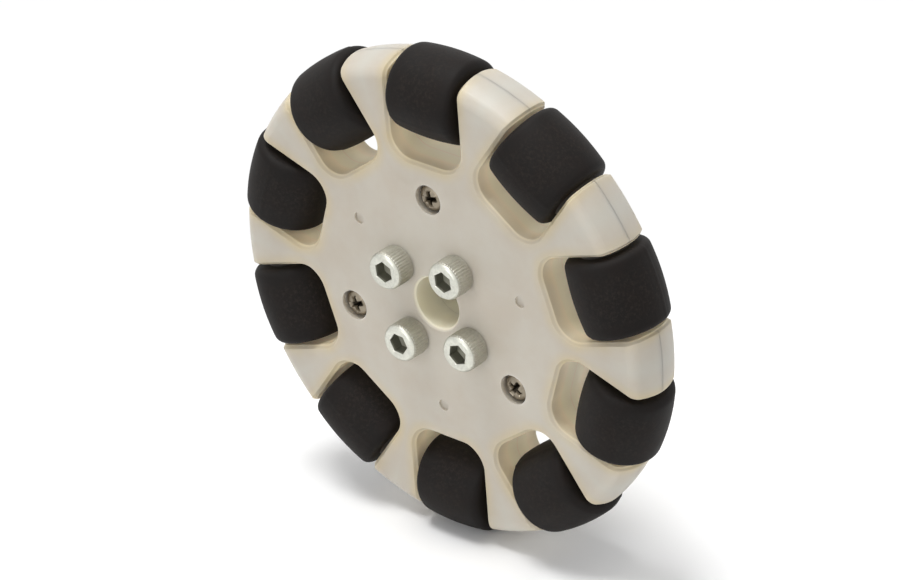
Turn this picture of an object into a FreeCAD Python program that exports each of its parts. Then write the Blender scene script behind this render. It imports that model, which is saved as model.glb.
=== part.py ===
# Omni wheel: a nylon wheel body in two clamped halves that carries a ring of ten free
# rubber rollers, bolted to a small aluminium hub for its axle.
# Millimetres. The origin is the wheel's centre, the wheel turns about +Y, its outer
# face looks along -Y and the hub stands behind it. One roller points straight down.

import FreeCAD
import Part
import Sketcher
import math
import os

doc = FreeCAD.newDocument("omni_wheel")

# Driving sizes

SIZES = [
    ("wheel_r", 38.1, "reach of the rollers from the wheel's axis"),
    ("roller_count", 10, "rollers round the wheel"),
    ("tyre_mid_r", 6.55, "radius of a rubber sleeve at its middle"),
    ("tyre_length", 11.6, "length of a rubber sleeve"),
    ("tyre_edge_r", 1.2, "rounding of the sleeve's end edges"),
    ("core_r", 3.6, "radius of the plastic core inside the sleeve"),
    ("core_proud", 0.4, "how far the core stands out of each end of the sleeve"),
    ("core_collar_r", 2.9, "radius of the rubbing face at each end of the core"),
    ("core_side_play", 0.25, "gap from the core's end to the pocket's side wall"),
    ("pin_r", 1.2, "radius of the steel pin that a roller turns on"),
    ("pin_running_gap", 0.05, "radial gap between the pin and the core"),
    ("pin_seat_gap", 0.02, "radial gap between the pin and its groove in the body"),
    ("pin_spacing", 0.3, "gap from a pin's end corner to the middle plane of an arm"),
    ("pin_bevel", 0.25, "bevel at the ends of a pin"),
    ("half_thickness", 4.75, "thickness of one half of the wheel body"),
    ("rim_drop", 0.8, "how far the rim lies inside the reach of the rollers"),
    ("rim_crown_r", 8.0, "radius of the crown across the rim"),
    ("rim_edge_r", 2.0, "rounding between the crown and each outer face"),
    ("pocket_back_gap", 2.8, "gap between a roller and the back wall of its pocket"),
    ("pocket_corner_r", 3.6, "rounding of the pocket's inner corners"),
    ("pocket_edge_bevel", 0.5, "bevel of the pocket's outer edges"),
    ("centre_bore_r", 4.0, "radius of the centre bore of the body"),
    ("bore_bevel", 0.4, "bevel at the mouth of the centre bore"),
    ("hub_screw_circle_r", 8.0, "radius of the circle of the hub screws"),
    ("hub_screw_first", 54, "direction of the first hub screw, in degrees from +X to +Z"),
    ("hub_screw_count", 4, "hub screws"),
    ("hub_screw_r", 1.75, "radius of a hub screw's thread"),
    ("hub_screw_hole_gap", 0.1, "radial gap round a hub screw in the body"),
    ("hub_screw_head_r", 2.87, "radius of a hub screw's head"),
    ("hub_screw_head_height", 3.5, "height of a hub screw's head"),
    ("hub_screw_socket_flats", 2.78, "width over the flats of the head's hexagon socket"),
    ("hub_screw_socket_depth", 1.8, "depth of the hexagon socket"),
    ("hub_screw_end_gap", 0.3, "how far a hub screw's end lies inside the hub's back face"),
    ("screw_bevel", 0.3, "bevel at the ends of the screws"),
    ("screw_point", 0.6, "bevel at the points of the set screw and the clamp screws"),
    ("thread_gap", 0.02, "radial gap that stands for the play of a screw thread"),
    ("hub_r", 12.7, "outer radius of the hub"),
    ("hub_thickness", 6.0, "thickness of the hub's disc"),
    ("hub_bevel", 0.5, "bevel of the hub's outer edges"),
    ("axle_bore_r", 2.4, "radius of the hub's bore for the axle"),
    ("axle_bore_bevel", 0.3, "bevel at the ends of the axle bore"),
    ("set_screw_r", 1.75, "radius of the set screw's thread"),
    ("set_screw_length", 6.0, "length of the set screw"),
    ("set_screw_tip_gap", 0.3, "gap from the set screw's tip to the axle bore"),
    ("set_screw_socket_flats", 1.6, "width over the flats of the set screw's socket"),
    ("set_screw_socket_depth", 2.2, "depth of the set screw's socket"),
    ("clamp_circle_r", 16.7, "radius of the circle of the clamp screws"),
    ("clamp_head_r", 2.1, "radius of a clamp screw's head"),
    ("clamp_head_height", 1.5, "height of a clamp screw's head"),
    ("clamp_head_crown", 0.6, "height of the head's rounded top"),
    ("clamp_head_sunk", 0.3, "how far the top of the head lies below the face"),
    ("clamp_head_gap", 0.2, "radial gap round a clamp screw's head in its seat"),
    ("clamp_screw_r", 1.1, "radius of a clamp screw's thread"),
    ("clamp_screw_length", 6.0, "length of a clamp screw under its head"),
    ("clamp_hole_gap", 0.15, "radial gap round a clamp screw in the half it passes through"),
    ("clamp_hole_spare", 0.4, "depth of the blind hole beyond a clamp screw's tip"),
    ("cross_length", 2.3, "length of the slots of a clamp screw's cross recess"),
    ("cross_width", 0.5, "width of those slots"),
    ("cross_depth", 0.9, "depth of those slots"),
    ("dimple_r", 0.9, "radius of the shallow mark outside each blind clamp hole"),
    ("dimple_depth", 0.35, "depth of that mark"),
]

# Directions of the clamp screws whose heads are in the front face, in degrees from +X to +Z
CLAMP_HEADS_FRONT = (90, 198, 324)


class Size:
    """A length or angle kept both as a number and as the formula that gives it from the sheet."""

    def __init__(self, value, text):
        self.value = float(value)
        self.text = text

    @staticmethod
    def of(thing):
        return thing if isinstance(thing, Size) else Size(thing, repr(thing))

    def __add__(self, other):
        other = Size.of(other)
        return Size(self.value + other.value, f"({self.text} + {other.text})")

    def __sub__(self, other):
        other = Size.of(other)
        return Size(self.value - other.value, f"({self.text} - {other.text})")

    def __mul__(self, other):
        other = Size.of(other)
        return Size(self.value * other.value, f"({self.text} * {other.text})")

    def __truediv__(self, other):
        other = Size.of(other)
        return Size(self.value / other.value, f"({self.text} / {other.text})")

    def __neg__(self):
        return Size(-self.value, f"(0 - {self.text})")


def cosine(angle):
    return Size(math.cos(math.radians(angle.value)), f"cos({angle.text})")


def sine(angle):
    return Size(math.sin(math.radians(angle.value)), f"sin({angle.text})")


def tangent(angle):
    return Size(math.tan(math.radians(angle.value)), f"tan({angle.text})")


def square_root(area):
    return Size(math.sqrt(area.value), f"sqrt({area.text})")


def smaller_of(first, second):
    return Size(min(first.value, second.value), f"min({first.text}; {second.text})")


sheet = doc.addObject("Spreadsheet::Sheet", "sizes")
size = {}
for row, (alias, value, meaning) in enumerate(SIZES, start=1):
    sheet.set(f"A{row}", alias)
    sheet.set(f"B{row}", str(value))
    sheet.setAlias(f"B{row}", alias)
    sheet.set(f"C{row}", meaning)
    size[alias] = Size(value, f"sizes.{alias}")
doc.recompute()

# Sizes that follow from the driving ones

ZERO = Size(0, "0")
roller_circle_r = size["wheel_r"] - size["tyre_mid_r"]
roller_step = Size(360, "360") / size["roller_count"]
tyre_half = size["tyre_length"] / 2
core_half = tyre_half + size["core_proud"]
pocket_half_width = core_half + size["core_side_play"]
pocket_back_r = roller_circle_r - size["tyre_mid_r"] - size["pocket_back_gap"]
pin_half = (roller_circle_r - size["pin_r"]) * tangent(roller_step / 2) - size["pin_spacing"]
corner_centre_out = (pocket_back_r + size["pocket_corner_r"]) * sine(roller_step / 2)
corner_centre_in = (pocket_half_width - size["pocket_corner_r"]) * cosine(roller_step / 2)
arm_neck = (corner_centre_out - corner_centre_in - size["pocket_corner_r"]) * 2
pocket_bevel = smaller_of(size["pocket_edge_bevel"], arm_neck / 3)
rim_reach = size["wheel_r"] - size["rim_drop"]
front_face = -size["half_thickness"]
hub_front = size["half_thickness"]
hub_back = hub_front + size["hub_thickness"]
hub_middle = hub_front + size["hub_thickness"] / 2
clamp_seat_depth = size["clamp_head_height"] + size["clamp_head_sunk"]
clamp_seat = front_face + clamp_seat_depth
clamp_tip = clamp_seat + size["clamp_screw_length"]
set_screw_tip = size["axle_bore_r"] + size["set_screw_tip_gap"]


# Ways to draw a sketch and to build on it

def new_body(label):
    body = doc.addObject("PartDesign::Body", label)
    body.Label = label
    return body


def origin_feature(body, role):
    return next(feature for feature in body.Origin.OriginFeatures if feature.Role == role)


def new_sketch(body, name, plane, height=ZERO):
    """A sketch on one of the body's origin planes, raised along that plane's normal."""
    sketch = body.newObject("Sketcher::SketchObject", f"{body.Name}_{name}")
    sketch.AttachmentSupport = (origin_feature(body, plane), [""])
    sketch.MapMode = "FlatFace"
    sketch.setExpression(".AttachmentOffset.Base.z", height.text)
    return sketch


def hold_point(sketch, edge, end, across, up):
    """Holds one point of the sketch at its distances from the sketch's origin."""
    for kind, distance in (("DistanceX", across), ("DistanceY", up)):
        index = sketch.addConstraint(Sketcher.Constraint(kind, edge, end, distance.value))
        sketch.setExpression(f"Constraints[{index}]", distance.text)


def draw_circle(sketch, across, up, radius):
    centre = FreeCAD.Vector(across.value, up.value, 0)
    edge = sketch.addGeometry(Part.Circle(centre, FreeCAD.Vector(0, 0, 1), radius.value), False)
    hold_point(sketch, edge, 3, across, up)
    index = sketch.addConstraint(Sketcher.Constraint("Radius", edge, radius.value))
    sketch.setExpression(f"Constraints[{index}]", radius.text)


def draw_outline(sketch, corners):
    """A closed outline. A corner is (across, up), or (across, up, arc centre across, arc centre up,
    turn) where the edge that leaves it is an arc, with turn 1 anticlockwise and -1 clockwise."""
    points = [FreeCAD.Vector(corner[0].value, corner[1].value, 0) for corner in corners]
    count = len(corners)
    ends = []
    for place, corner in enumerate(corners):
        start = points[place]
        stop = points[(place + 1) % count]
        if len(corner) == 2:
            edge = sketch.addGeometry(Part.LineSegment(start, stop), False)
            ends.append((edge, 1, 2))
            continue
        centre = FreeCAD.Vector(corner[2].value, corner[3].value, 0)
        first, last = (start, stop) if corner[4] > 0 else (stop, start)
        circle = Part.Circle(centre, FreeCAD.Vector(0, 0, 1), (start - centre).Length)
        low = math.atan2(first.y - centre.y, first.x - centre.x)
        high = math.atan2(last.y - centre.y, last.x - centre.x)
        edge = sketch.addGeometry(Part.ArcOfCircle(circle, low, high), False)
        ends.append((edge, 1, 2) if corner[4] > 0 else (edge, 2, 1))
        hold_point(sketch, edge, 3, corner[2], corner[3])
    for place in range(count):
        edge, end = ends[place][0], ends[place][2]
        following = ends[(place + 1) % count]
        sketch.addConstraint(Sketcher.Constraint("Coincident", edge, end, following[0], following[1]))
    for place, corner in enumerate(corners):
        before = corners[place - 1]
        edge, start = ends[place][0], ends[place][1]
        if len(before) == 5:
            # The arc's centre and start already place it, so its end needs one distance more
            level = abs(points[place].x - before[2].value) < abs(points[place].y - before[3].value)
            kind, distance = ("DistanceX", corner[0]) if level else ("DistanceY", corner[1])
            index = sketch.addConstraint(Sketcher.Constraint(kind, edge, start, distance.value))
            sketch.setExpression(f"Constraints[{index}]", distance.text)
        else:
            hold_point(sketch, edge, start, corner[0], corner[1])


def revolve(body, sketch, axis):
    feature = body.newObject("PartDesign::Revolution", f"{sketch.Name}_turned")
    feature.Profile = sketch
    feature.ReferenceAxis = (sketch, [axis])
    feature.Angle = 360
    return feature


def cut(body, sketch, depth=None, reverse=False, both_ways=False):
    """A pocket that must take material away. With no depth it goes right through."""
    doc.recompute()
    before = body.Shape.Volume
    feature = body.newObject("PartDesign::Pocket", f"{sketch.Name}_cut")
    feature.Profile = sketch
    feature.Reversed = reverse
    if both_ways:
        feature.SideType = "Symmetric"
    if depth is None:
        feature.Type = "ThroughAll"
    else:
        feature.Type = "Length"
        feature.setExpression("Length", depth.text)
    doc.recompute()
    if body.Shape.Volume >= before:
        raise RuntimeError(f"{feature.Name} removed nothing")
    return feature


def repeat_round(body, features, count):
    """Copies features round the body's Y axis."""
    pattern = body.newObject("PartDesign::PolarPattern", f"{features[0].Name}_ring")
    pattern.Originals = features
    pattern.Axis = (origin_feature(body, "Y_Axis"), [""])
    pattern.Angle = 360
    pattern.setExpression("Occurrences", count.text)
    body.Tip = pattern
    doc.recompute()
    return pattern


def place_body(body, base, turn_axis=FreeCAD.Vector(0, 1, 0), turn=ZERO):
    """Puts a finished body in the wheel, with its place bound to the sheet."""
    body.Placement = FreeCAD.Placement(FreeCAD.Vector(), FreeCAD.Rotation(turn_axis, turn.value))
    body.setExpression(".Placement.Rotation.Angle", turn.text)
    for letter, distance in zip("xyz", base):
        body.setExpression(f".Placement.Base.{letter}", distance.text)


def hexagon(sketch, flats):
    """A hexagon about the sketch's origin, with two of its corners level with it."""
    corner_r = flats / (2 * math.cos(math.radians(30)))
    corners = []
    for turn in range(6):
        angle = Size(60 * turn, str(60 * turn))
        corners.append((corner_r * cosine(angle), corner_r * sine(angle)))
    draw_outline(sketch, corners)


# Wheel body: two equal nylon mouldings, face to face at the wheel's middle plane

def make_half(label):
    """One half, drawn as the front one: outer face at the front, mating face at Y = 0."""
    body = new_body(label)
    bore = size["centre_bore_r"]
    bevel = size["bore_bevel"]
    crown_centre = rim_reach - size["rim_crown_r"]
    inner_r = size["rim_crown_r"] - size["rim_edge_r"]
    edge_depth = size["half_thickness"] - size["rim_edge_r"]
    edge_out = square_root(inner_r * inner_r - edge_depth * edge_depth)
    edge_centre = crown_centre + edge_out
    blend = size["rim_crown_r"] / inner_r
    section = new_sketch(body, "section", "XY_Plane")
    draw_outline(section, [
        (bore, front_face + bevel),
        (bore + bevel, front_face),
        (edge_centre, front_face, edge_centre, -edge_depth, 1),
        (crown_centre + edge_out * blend, -(edge_depth * blend), crown_centre, ZERO, 1),
        (rim_reach, ZERO),
        (bore, ZERO),
    ])
    revolve(body, section, "V_Axis")

    # The pocket of the lowest roller, open at the rim, with rounded inner corners
    corner = size["pocket_corner_r"]
    width = pocket_half_width
    outside_rim = size["wheel_r"] + size["rim_drop"]
    pocket = new_sketch(body, "roller_pocket", "XZ_Plane")
    draw_outline(pocket, [
        (-width, -outside_rim),
        (width, -outside_rim),
        (width, -(pocket_back_r + corner), width - corner, -(pocket_back_r + corner), 1),
        (width - corner, -pocket_back_r),
        (-(width - corner), -pocket_back_r, -(width - corner), -(pocket_back_r + corner), 1),
        (-width, -(pocket_back_r + corner)),
    ])
    repeat_round(body, [cut(body, pocket, reverse=True)], size["roller_count"])
    bevel_pocket_edges(body)
    groove = new_sketch(body, "pin_groove", "YZ_Plane")
    draw_circle(groove, ZERO, -roller_circle_r, size["pin_r"] + size["pin_seat_gap"])
    groove_length = (pin_half + size["pin_spacing"] / 2) * 2
    repeat_round(body, [cut(body, groove, depth=groove_length, both_ways=True)], size["roller_count"])

    # Holes for the hub screws, and seats, holes and blind holes for the clamp screws
    hub_holes = new_sketch(body, "hub_screw_hole", "XZ_Plane")
    first = size["hub_screw_first"]
    circle_r = size["hub_screw_circle_r"]
    hub_hole_r = size["hub_screw_r"] + size["hub_screw_hole_gap"]
    draw_circle(hub_holes, circle_r * cosine(first), circle_r * sine(first), hub_hole_r)
    repeat_round(body, [cut(body, hub_holes, reverse=True)], size["hub_screw_count"])

    heads_here = [Size(angle, str(angle)) for angle in CLAMP_HEADS_FRONT]
    heads_behind = [first * 2 - angle for angle in heads_here]
    outside = size["half_thickness"]
    seats = new_sketch(body, "clamp_seat", "XZ_Plane", outside)
    holes = new_sketch(body, "clamp_hole", "XZ_Plane")
    blind_holes = new_sketch(body, "clamp_blind_hole", "XZ_Plane")
    dimples = new_sketch(body, "dimple", "XZ_Plane", outside)
    clamp_r = size["clamp_circle_r"]
    for angle in heads_here:
        across, up = clamp_r * cosine(angle), clamp_r * sine(angle)
        draw_circle(seats, across, up, size["clamp_head_r"] + size["clamp_head_gap"])
        draw_circle(holes, across, up, size["clamp_screw_r"] + size["clamp_hole_gap"])
    for angle in heads_behind:
        across, up = clamp_r * cosine(angle), clamp_r * sine(angle)
        draw_circle(blind_holes, across, up, size["clamp_screw_r"] + size["thread_gap"])
        draw_circle(dimples, across, up, size["dimple_r"])
    cut(body, seats, depth=clamp_seat_depth)
    cut(body, holes, reverse=True)
    cut(body, blind_holes, depth=clamp_tip + size["clamp_hole_spare"], reverse=True)
    cut(body, dimples, depth=size["dimple_depth"])
    return body


def bevel_pocket_edges(body):
    """Bevels the edges where the pockets' walls meet the outer face and the round rim. Where an
    arm's neck between two pockets is thin, the bevel on each side of it is a third of the neck."""
    doc.recompute()
    ring = body.Tip
    shape = ring.Shape
    names = []
    for number, edge in enumerate(shape.Edges, start=1):
        middle = edge.valueAt((edge.FirstParameter + edge.LastParameter) / 2)
        heading = edge.tangentAt((edge.FirstParameter + edge.LastParameter) / 2)
        on_mating_face = abs(middle.y) < 0.001
        along_axis = abs(heading.y) > 0.999
        if on_mating_face or along_axis or not on_pocket_wall(shape, edge):
            continue
        names.append(f"Edge{number}")
    bevel = body.newObject("PartDesign::Chamfer", f"{body.Name}_pocket_edges")
    bevel.Base = (ring, names)
    bevel.setExpression("Size", pocket_bevel.text)
    doc.recompute()


def on_pocket_wall(shape, edge):
    """True where one of the edge's faces stands along Y as a flat wall or as a pocket corner."""
    for face in shape.ancestorsOfType(edge, Part.Face):
        surface = face.Surface
        if isinstance(surface, Part.Plane) and abs(surface.Axis.y) < 0.001:
            return True
        if isinstance(surface, Part.Cylinder) and abs(surface.Axis.y) > 0.999:
            if abs(surface.Radius - size["pocket_corner_r"].value) < 0.001:
                return True
    return False


make_half("front_half")
rear_half = make_half("rear_half")
flip_line = FreeCAD.Vector(
    cosine(size["hub_screw_first"]).value, 0, sine(size["hub_screw_first"]).value)
place_body(rear_half, (ZERO, ZERO, ZERO), flip_line, Size(180, "180"))


# Rollers: a rubber sleeve on a plastic core, free on a steel pin that the body's halves hold

def place_on_roller_circle(body, number):
    """Turns a body drawn along X so that it lies along the rim at its roller's place."""
    angle = Size(270, "270") + roller_step * number
    turn = -(angle + 90)
    base = (roller_circle_r * cosine(angle), ZERO, roller_circle_r * sine(angle))
    place_body(body, base, turn=turn)


def make_tyre(number):
    """The sleeve's section is an arc of the wheel's own outer circle, so the ring rolls evenly."""
    body = new_body(f"roller_tyre_{number + 1:02d}")
    section = new_sketch(body, "section", "XY_Plane")
    edge_r = size["tyre_edge_r"]
    reach_to_edge = size["wheel_r"] - edge_r
    edge_centre = tyre_half - edge_r
    edge_lean = square_root(reach_to_edge * reach_to_edge - edge_centre * edge_centre)
    edge_height = edge_lean - roller_circle_r
    blend = size["wheel_r"] / reach_to_edge
    blend_across = edge_centre * blend
    blend_up = edge_lean * blend - roller_circle_r
    draw_outline(section, [
        (-tyre_half, size["core_r"]),
        (tyre_half, size["core_r"]),
        (tyre_half, edge_height, edge_centre, edge_height, 1),
        (blend_across, blend_up, ZERO, -roller_circle_r, 1),
        (-blend_across, blend_up, -edge_centre, edge_height, 1),
        (-tyre_half, edge_height),
    ])
    revolve(body, section, "H_Axis")
    return body


def make_core(number):
    body = new_body(f"roller_core_{number + 1:02d}")
    section = new_sketch(body, "section", "XY_Plane")
    inner = size["pin_r"] + size["pin_running_gap"]
    draw_outline(section, [
        (-core_half, inner),
        (core_half, inner),
        (core_half, size["core_collar_r"]),
        (tyre_half, size["core_r"]),
        (-tyre_half, size["core_r"]),
        (-core_half, size["core_collar_r"]),
    ])
    revolve(body, section, "H_Axis")
    return body


def make_pin(number):
    body = new_body(f"roller_pin_{number + 1:02d}")
    section = new_sketch(body, "section", "XY_Plane")
    bevel = size["pin_bevel"]
    draw_outline(section, [
        (-pin_half, ZERO),
        (pin_half, ZERO),
        (pin_half, size["pin_r"] - bevel),
        (pin_half - bevel, size["pin_r"]),
        (-(pin_half - bevel), size["pin_r"]),
        (-pin_half, size["pin_r"] - bevel),
    ])
    revolve(body, section, "H_Axis")
    return body


for number in range(int(size["roller_count"].value)):
    for make_piece in (make_tyre, make_core, make_pin):
        place_on_roller_circle(make_piece(number), number)


# Hub: a turned aluminium disc, screwed flat against the back of the body

def make_hub():
    body = new_body("hub")
    bore = size["axle_bore_r"]
    mouth = bore + size["axle_bore_bevel"]
    edge = size["hub_bevel"]
    section = new_sketch(body, "section", "XY_Plane")
    draw_outline(section, [
        (mouth, hub_front),
        (size["hub_r"] - edge, hub_front),
        (size["hub_r"], hub_front + edge),
        (size["hub_r"], hub_back - edge),
        (size["hub_r"] - edge, hub_back),
        (mouth, hub_back),
        (bore, hub_back - size["axle_bore_bevel"]),
        (bore, hub_front + size["axle_bore_bevel"]),
    ])
    revolve(body, section, "V_Axis")
    tapped = new_sketch(body, "tapped_hole", "XZ_Plane")
    first = size["hub_screw_first"]
    circle_r = size["hub_screw_circle_r"]
    tapped_r = size["hub_screw_r"] + size["thread_gap"]
    draw_circle(tapped, circle_r * cosine(first), circle_r * sine(first), tapped_r)
    repeat_round(body, [cut(body, tapped)], size["hub_screw_count"])
    side_hole = new_sketch(body, "set_screw_hole", "XY_Plane")
    draw_circle(side_hole, ZERO, hub_middle, size["set_screw_r"] + size["thread_gap"])
    cut(body, side_hole, reverse=True)
    return body


def make_set_screw():
    """A socket set screw, up to the axle bore from the top of the hub. Drawn about Y, turned to Z."""
    body = new_body("hub_set_screw")
    section = new_sketch(body, "section", "XY_Plane")
    radius = size["set_screw_r"]
    bevel = size["screw_bevel"]
    point = size["screw_point"]
    length = size["set_screw_length"]
    draw_outline(section, [
        (ZERO, ZERO),
        (radius - point, ZERO),
        (radius, point),
        (radius, length - bevel),
        (radius - bevel, length),
        (ZERO, length),
    ])
    revolve(body, section, "V_Axis")
    socket = new_sketch(body, "socket", "XZ_Plane", -length)
    hexagon(socket, size["set_screw_socket_flats"])
    cut(body, socket, depth=size["set_screw_socket_depth"], reverse=True)
    place_body(body, (ZERO, hub_middle, set_screw_tip), FreeCAD.Vector(1, 0, 0), Size(90, "90"))
    return body


make_hub()
make_set_screw()


# Hub screws: socket head cap screws through both halves into the hub

def make_hub_screw(number):
    body = new_body(f"hub_screw_{number + 1}")
    section = new_sketch(body, "section", "XY_Plane")
    shank = size["hub_screw_r"]
    head = size["hub_screw_head_r"]
    top = front_face - size["hub_screw_head_height"]
    tip = hub_back - size["hub_screw_end_gap"]
    bevel = size["screw_bevel"]
    draw_outline(section, [
        (ZERO, top),
        (head - bevel, top),
        (head, top + bevel),
        (head, front_face),
        (shank, front_face),
        (shank, tip - bevel),
        (shank - bevel, tip),
        (ZERO, tip),
    ])
    revolve(body, section, "V_Axis")
    socket = new_sketch(body, "socket", "XZ_Plane", -top)
    hexagon(socket, size["hub_screw_socket_flats"])
    cut(body, socket, depth=size["hub_screw_socket_depth"])
    angle = size["hub_screw_first"] + Size(360, "360") / size["hub_screw_count"] * number
    circle_r = size["hub_screw_circle_r"]
    place_body(body, (circle_r * cosine(angle), ZERO, circle_r * sine(angle)))
    return body


for number in range(int(size["hub_screw_count"].value)):
    make_hub_screw(number)


# Clamp screws: three from the front and three from the back hold the halves together

def make_clamp_screw(label):
    """A thread-forming pan head screw with a cross recess, drawn with its head to the front."""
    body = new_body(label)
    section = new_sketch(body, "section", "XY_Plane")
    shank = size["clamp_screw_r"]
    head = size["clamp_head_r"]
    crown = size["clamp_head_crown"]
    top = clamp_seat - size["clamp_head_height"]
    point = size["screw_point"]
    crown_r = (head * head + crown * crown) / (crown * 2)
    draw_outline(section, [
        (ZERO, clamp_tip),
        (ZERO, top, ZERO, top + crown_r, 1),
        (head, top + crown),
        (head, clamp_seat),
        (shank, clamp_seat),
        (shank, clamp_tip - point),
        (shank - point, clamp_tip),
    ])
    revolve(body, section, "V_Axis")
    recess = new_sketch(body, "cross_recess", "XZ_Plane", -top)
    long = size["cross_length"] / 2
    thin = size["cross_width"] / 2
    draw_outline(recess, [
        (long, -thin), (long, thin), (thin, thin), (thin, long), (-thin, long), (-thin, thin),
        (-long, thin), (-long, -thin), (-thin, -thin), (-thin, -long), (thin, -long), (thin, -thin),
    ])
    cut(body, recess, depth=size["cross_depth"])
    return body


for number, direction in enumerate(CLAMP_HEADS_FRONT, start=1):
    clamp_r = size["clamp_circle_r"]
    here = Size(direction, str(direction))
    front_screw = make_clamp_screw(f"clamp_screw_front_{number}")
    place_body(front_screw, (clamp_r * cosine(here), ZERO, clamp_r * sine(here)))
    behind = size["hub_screw_first"] * 2 - here
    rear_screw = make_clamp_screw(f"clamp_screw_rear_{number}")
    rear_base = (clamp_r * cosine(behind), ZERO, clamp_r * sine(behind))
    place_body(rear_screw, rear_base, flip_line, Size(180, "180"))


# Check every object, then write each piece to its own file

doc.recompute()
bodies = [thing for thing in doc.Objects if thing.isDerivedFrom("PartDesign::Body")]
for thing in doc.Objects:
    if "Invalid" in thing.State or "Error" in thing.State:
        raise RuntimeError(f"{thing.Name} failed: {thing.State}")
for body in bodies:
    shape = body.Shape
    if shape.isNull() or not shape.isValid() or len(shape.Solids) != 1:
        raise RuntimeError(f"{body.Label} is not one valid solid")

os.makedirs("parts", exist_ok=True)
for body in bodies:
    body.Shape.exportStep(f"parts/{body.Label}.step")
    print(f"{body.Label}: {body.Shape.Volume:.2f} mm3")
print(f"{len(bodies)} pieces")
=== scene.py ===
# Looks of the omni wheel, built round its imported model. Metres, in the wheel's own frame:
# the origin is the wheel's centre, it turns about Y, its outer face looks along -Y.

import math
import random

import bmesh
import bpy
from mathutils import Matrix, Vector


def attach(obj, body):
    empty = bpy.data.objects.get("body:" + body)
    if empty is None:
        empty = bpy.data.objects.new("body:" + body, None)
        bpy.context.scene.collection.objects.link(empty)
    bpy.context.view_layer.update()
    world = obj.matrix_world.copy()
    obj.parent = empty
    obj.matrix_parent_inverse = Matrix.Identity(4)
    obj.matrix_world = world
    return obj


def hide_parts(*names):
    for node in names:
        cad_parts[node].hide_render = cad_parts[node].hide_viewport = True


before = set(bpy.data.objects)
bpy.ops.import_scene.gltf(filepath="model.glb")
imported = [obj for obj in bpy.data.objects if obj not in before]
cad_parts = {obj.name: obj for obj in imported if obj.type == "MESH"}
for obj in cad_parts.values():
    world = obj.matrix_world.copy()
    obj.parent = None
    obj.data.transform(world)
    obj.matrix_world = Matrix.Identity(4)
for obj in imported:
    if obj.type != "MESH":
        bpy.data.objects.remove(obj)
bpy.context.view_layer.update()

# Wheel body
# Two equal mouldings of natural nylon, clamped face to face. Nylon lets some light through, so
# it looks cream where it is lit. Light that comes through to the walls deep in the roller pockets
# is painted: they are paler amber and give a faint painted glow, the face has painted amber shade
# along the pocket edges, and the bore's wall has painted light.

MM = 0.001
ROLLER_COUNT = 10
FIRST_ROLLER = math.radians(270)
ROLLER_STEP = 2 * math.pi / ROLLER_COUNT
POCKET_HALF_WIDTH = 0.00645
POCKET_BACK = 0.0222
POCKET_CORNER_R = 0.0036
HALF_THICKNESS = 0.00475
CENTRE_BORE_R = 0.004

CREAM = (199, 193, 181)
DULL_CREAM = (194, 185, 171)
ARM_CREAM = (197, 194, 184)
ARM_SHARE = 0.8
PAINTED_AMBER_EDGE_SHADE = (202, 186, 149)
PAINTED_POCKET_WALL_LIGHT = (250, 235, 200)
PAINTED_BORE_LIGHT = (236, 230, 208)
JOIN_SHADE = (120, 104, 78)
JOIN_SHARE = 0.2
PAINTED_POCKET_GLOW = (0.1, 0.085, 0.062, 1)
NO_PAINTED_GLOW = (0, 0, 0, 1)

AMBER_REACH = 2.4 * MM
AMBER_PATCH_SIZE = 6 * MM
LEAST_DEEP = 0.25
# Each pair says where a change starts and where it ends.
AMBER_SHARES = (0.3, 0.85)
NOISE_SPAN = (0.3, 0.7)
WALL_SKIN = (0.02 * MM, 0.3 * MM)
WALL_DEPTH = (1.5 * MM, HALF_THICKNESS)
ARM_MIDDLE = (2.0 * MM, 5.0 * MM)
ARM_END = (25 * MM, 31 * MM)
BORE_SKIN = (CENTRE_BORE_R + 0.05 * MM, CENTRE_BORE_R + 0.4 * MM)
JOIN_LINE = (0.02 * MM, 0.07 * MM)


def seen(red, green, blue):
    """A colour as a screen shows it, from 0 to 255, turned into the linear one of a shader."""
    linear = []
    for part in (red, green, blue):
        share = part / 255
        linear.append(((share + 0.055) / 1.055) ** 2.4 if share > 0.04045 else share / 12.92)
    return (*linear, 1.0)


def plug(tree, value, socket):
    """Joins an output to a socket, or sets the socket where the value is plain."""
    if isinstance(value, bpy.types.NodeSocket):
        tree.links.new(value, socket)
    else:
        socket.default_value = value


def sums(tree, operation, *values):
    """One step of arithmetic, called as the Math node calls it."""
    node = tree.nodes.new("ShaderNodeMath")
    node.operation = operation
    for socket, value in zip(node.inputs, values):
        plug(tree, value, socket)
    return node.outputs[0]


def fade(tree, value, low, high, at_low=0.0, at_high=1.0):
    """A smooth step from at_low to at_high as the value goes from low to high."""
    node = tree.nodes.new("ShaderNodeMapRange")
    node.interpolation_type = "SMOOTHSTEP"
    plug(tree, value, node.inputs["Value"])
    plug(tree, low, node.inputs["From Min"])
    plug(tree, high, node.inputs["From Max"])
    plug(tree, at_low, node.inputs["To Min"])
    plug(tree, at_high, node.inputs["To Max"])
    return node.outputs["Result"]


def speckle(tree, place, size, detail=2.0, roughness=0.5):
    """Noise whose patches are about size across."""
    node = tree.nodes.new("ShaderNodeTexNoise")
    plug(tree, place, node.inputs["Vector"])
    plug(tree, sums(tree, "DIVIDE", 1.0, size), node.inputs["Scale"])
    node.inputs["Detail"].default_value = detail
    node.inputs["Roughness"].default_value = roughness
    return node.outputs["Fac"]


def blend(tree, share, first, second):
    """A colour that goes from first to second as share goes from 0 to 1."""
    node = tree.nodes.new("ShaderNodeMix")
    node.data_type = "RGBA"
    plug(tree, share, node.inputs["Factor"])
    plug(tree, first, node.inputs["A"])
    plug(tree, second, node.inputs["B"])
    return node.outputs[2]


def long_side(tree, first, second):
    """The long side of a right triangle."""
    squares = [sums(tree, "MULTIPLY", value, value) for value in (first, second)]
    return sums(tree, "SQRT", sums(tree, "ADD", *squares))


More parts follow.
